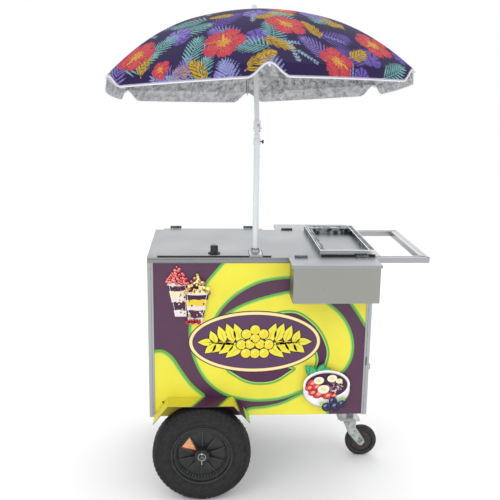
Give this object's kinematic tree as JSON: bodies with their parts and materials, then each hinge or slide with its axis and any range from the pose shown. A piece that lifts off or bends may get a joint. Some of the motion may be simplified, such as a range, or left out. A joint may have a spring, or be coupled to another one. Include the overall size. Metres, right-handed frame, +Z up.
{
  "type": "push vending cart",
  "caption": "Wheeled push cart with an insulated tank under a hinged lid, lidded side boxes, a tray frame, a push handle and a folding, tilting umbrella.",
  "frame": {"origin": "middle of the footprint of the whole cart, on the ground", "axes": "+Z up, +X towards the push handle, -Y towards the printed front with the nearer wheel"},
  "size_m": [1.116, 1.0818, 1.7443],
  "materials": {
    "brushed_stainless": "satin brushed stainless sheet",
    "polished_stainless": "polished stainless",
    "zinc_plated": "bright zinc plating",
    "printed_panel": "sheet with a printed vinyl wrap, purple and yellow",
    "black_steel": "black paint",
    "black_plastic": "moulded, semi-matt",
    "white_enamel": "white gloss enamel",
    "black_rubber": "matt black rubber",
    "insulation_foam": "rigid foam, hidden between the tank and the walls",
    "liner_plastic": "moulded white plastic",
    "canopy_cloth": "coated polyester, printed outside and silver inside"
  },
  "bodies": {
    "cart": {"left_end_panel": "brushed_stainless", "right_end_panel": "brushed_stainless", "front_panel": "printed_panel", "rear_panel": "printed_panel", "deck": "brushed_stainless", "chassis_frame": "black_steel", "floor_plate": "brushed_stainless", "tank_liner": "brushed_stainless", "tank_insulation": "insulation_foam", "lid_gasket": "black_rubber", "box_front": "brushed_stainless", "box_rear": "brushed_stainless", "tray_frame": "polished_stainless", "handle_frame": "brushed_stainless", "hood_front": "printed_panel", "hood_rear": "printed_panel", "axle_cradle": "black_steel", "axle": "zinc_plated", "linch_pin_front": "zinc_plated", "linch_pin_rear": "zinc_plated", "caster_bracket": "brushed_stainless", "caster_plate": "zinc_plated", "umbrella_socket": "brushed_stainless"},
    "main_lid": {"lid_skin": "brushed_stainless", "lid_liner": "liner_plastic", "lid_knob": "black_plastic"},
    "box_lid_front": {"box_lid_front": "brushed_stainless"},
    "box_lid_rear": {"box_lid_rear": "brushed_stainless"},
    "service_door": {"service_door": "brushed_stainless", "door_pull": "zinc_plated"},
    "wheel_front": {"tyre_front": "black_rubber", "rim_front": "black_plastic"},
    "wheel_rear": {"tyre_rear": "black_rubber", "rim_rear": "black_plastic"},
    "caster_fork": {"caster_fork": "zinc_plated", "caster_bolt": "zinc_plated"},
    "caster_wheel": {"caster_wheel": "black_rubber"},
    "umbrella_base": {"lower_pole": "white_enamel"},
    "umbrella_top": {"upper_pole": "white_enamel", "crown_cap": "white_enamel"},
    "runner": {"runner": "white_enamel"},
    "rib_1": {"rib_1": "zinc_plated", "canopy_panel_1": "canopy_cloth"},
    "stretcher_1": {"stretcher_1": "zinc_plated"},
    "rib_2": {"rib_2": "zinc_plated", "canopy_panel_2": "canopy_cloth"},
    "stretcher_2": {"stretcher_2": "zinc_plated"},
    "rib_3": {"rib_3": "zinc_plated", "canopy_panel_3": "canopy_cloth"},
    "stretcher_3": {"stretcher_3": "zinc_plated"},
    "rib_4": {"rib_4": "zinc_plated", "canopy_panel_4": "canopy_cloth"},
    "stretcher_4": {"stretcher_4": "zinc_plated"},
    "rib_5": {"rib_5": "zinc_plated", "canopy_panel_5": "canopy_cloth"},
    "stretcher_5": {"stretcher_5": "zinc_plated"},
    "rib_6": {"rib_6": "zinc_plated", "canopy_panel_6": "canopy_cloth"},
    "stretcher_6": {"stretcher_6": "zinc_plated"}
  },
  "joints": [
    {"name": "main_lid_hinge", "type": "hinge", "parent": "cart", "child": "main_lid", "pos_m": [-0.20449, 0.4009, 0.9032], "axis": [-1, 0, 0], "range_deg": [0, 100]},
    {"name": "box_lid_front_hinge", "type": "hinge", "parent": "cart", "child": "box_lid_front", "pos_m": [0.20801, -0.0771, 0.8959], "axis": [-1, 0, 0], "range_deg": [0, 105]},
    {"name": "box_lid_rear_hinge", "type": "hinge", "parent": "cart", "child": "box_lid_rear", "pos_m": [0.20801, 0.3954, 0.8959], "axis": [1, 0, 0], "range_deg": [0, 105]},
    {"name": "service_door_hinge", "type": "hinge", "parent": "cart", "child": "service_door", "pos_m": [0.36691, 0.3704, 0.47], "axis": [0, 0, 1], "range_deg": [0, 120]},
    {"name": "wheel_front_spin", "type": "hinge", "parent": "cart", "child": "wheel_front", "pos_m": [-0.24899, -0.1271, 0.1775], "axis": [0, 1, 0], "continuous": true},
    {"name": "wheel_rear_spin", "type": "hinge", "parent": "cart", "child": "wheel_rear", "pos_m": [-0.24899, 0.4454, 0.1775], "axis": [0, 1, 0], "continuous": true},
    {"name": "caster_swivel", "type": "hinge", "parent": "cart", "child": "caster_fork", "pos_m": [0.35101, 0.15915, 0.166], "axis": [0, 0, 1], "continuous": true},
    {"name": "caster_wheel_spin", "type": "hinge", "parent": "caster_fork", "child": "caster_wheel", "pos_m": [0.39901, 0.15915, 0.0635], "axis": [0, 1, 0], "continuous": true},
    {"name": "umbrella_lift", "type": "slide", "parent": "cart", "child": "umbrella_base", "axis": [0, 0, 1], "range_m": [0, 0.25]},
    {"name": "canopy_tilt", "type": "hinge", "parent": "umbrella_base", "child": "umbrella_top", "pos_m": [-0.05899, -0.0151, 1.335], "axis": [-0.9461, -0.3239, 0], "range_deg": [-5.9, 14]},
    {"name": "canopy_fold", "type": "hinge", "parent": "umbrella_top", "child": "rib_1", "pos_m": [-0.07148, 0.00336, 1.70877], "axis": [0.9994, 0.0016, 0.0333], "range_deg": [0, 60], "deforming": ["canopy_panel_1", "canopy_panel_2", "canopy_panel_3", "canopy_panel_4", "canopy_panel_5", "canopy_panel_6"]},
    {"name": "rib_2_fold", "type": "hinge", "parent": "umbrella_top", "child": "rib_2", "pos_m": [-0.05588, 0.01234, 1.70841], "axis": [0.5011, 0.8627, -0.0676], "range_deg": [-1, 61]},
    {"name": "rib_3_fold", "type": "hinge", "parent": "umbrella_top", "child": "rib_3", "pos_m": [-0.05585, 0.03026, 1.70666], "axis": [-0.4983, 0.8611, -0.1009], "range_deg": [-1, 61]},
    {"name": "rib_4_fold", "type": "hinge", "parent": "umbrella_top", "child": "rib_4", "pos_m": [-0.07142, 0.03919, 1.70527], "axis": [-0.9994, -0.0016, -0.0333], "range_deg": [-1, 61]},
    {"name": "rib_5_fold", "type": "hinge", "parent": "umbrella_top", "child": "rib_5", "pos_m": [-0.08701, 0.03021, 1.70562], "axis": [-0.5011, -0.8627, 0.0676], "range_deg": [-1, 61]},
    {"name": "rib_6_fold", "type": "hinge", "parent": "umbrella_top", "child": "rib_6", "pos_m": [-0.08704, 0.01229, 1.70738], "axis": [0.4983, -0.8611, 0.1009], "range_deg": [-1, 61]},
    {"name": "runner_slide", "type": "slide", "parent": "umbrella_top", "child": "runner", "axis": [0.0333, -0.0973, -0.9947], "range_m": [-0.001, 0.2125]},
    {"name": "stretcher_1_fold", "type": "hinge", "parent": "rib_1", "child": "stretcher_1", "pos_m": [-0.07107, -0.15982, 1.70462], "axis": [0.9994, 0.0016, 0.0333], "range_deg": [-102, 1]},
    {"name": "stretcher_2_fold", "type": "hinge", "parent": "rib_2", "child": "stretcher_2", "pos_m": [0.08487, -0.06999, 1.70106], "axis": [0.5011, 0.8627, -0.0676], "range_deg": [-102, 1]},
    {"name": "stretcher_3_fold", "type": "hinge", "parent": "rib_3", "child": "stretcher_3", "pos_m": [0.08516, 0.10915, 1.68355], "axis": [-0.4983, 0.8611, -0.1009], "range_deg": [-102, 1]},
    {"name": "stretcher_4_fold", "type": "hinge", "parent": "rib_4", "child": "stretcher_4", "pos_m": [-0.07049, 0.19847, 1.66961], "axis": [-0.9994, -0.0016, -0.0333], "range_deg": [-102, 1]},
    {"name": "stretcher_5_fold", "type": "hinge", "parent": "rib_5", "child": "stretcher_5", "pos_m": [-0.22643, 0.10865, 1.67317], "axis": [-0.5011, -0.8627, 0.0676], "range_deg": [-102, 1]},
    {"name": "stretcher_6_fold", "type": "hinge", "parent": "rib_6", "child": "stretcher_6", "pos_m": [-0.22673, -0.0705, 1.69068], "axis": [0.4983, -0.8611, 0.1009], "range_deg": [-102, 1]}
  ],
  "couplings": [
    {"joint": "rib_2_fold", "follows": "canopy_fold", "ratio": 1},
    {"joint": "rib_3_fold", "follows": "canopy_fold", "ratio": 1},
    {"joint": "rib_4_fold", "follows": "canopy_fold", "ratio": 1},
    {"joint": "rib_5_fold", "follows": "canopy_fold", "ratio": 1},
    {"joint": "rib_6_fold", "follows": "canopy_fold", "ratio": 1},
    {"joint": "runner_slide", "follows": "canopy_fold", "m_per_rad": 0.20149},
    {"joint": "stretcher_1_fold", "follows": "canopy_fold", "ratio": -1.6793},
    {"joint": "stretcher_2_fold", "follows": "canopy_fold", "ratio": -1.6793},
    {"joint": "stretcher_3_fold", "follows": "canopy_fold", "ratio": -1.6793},
    {"joint": "stretcher_4_fold", "follows": "canopy_fold", "ratio": -1.6793},
    {"joint": "stretcher_5_fold", "follows": "canopy_fold", "ratio": -1.6793},
    {"joint": "stretcher_6_fold", "follows": "canopy_fold", "ratio": -1.6793}
  ]
}
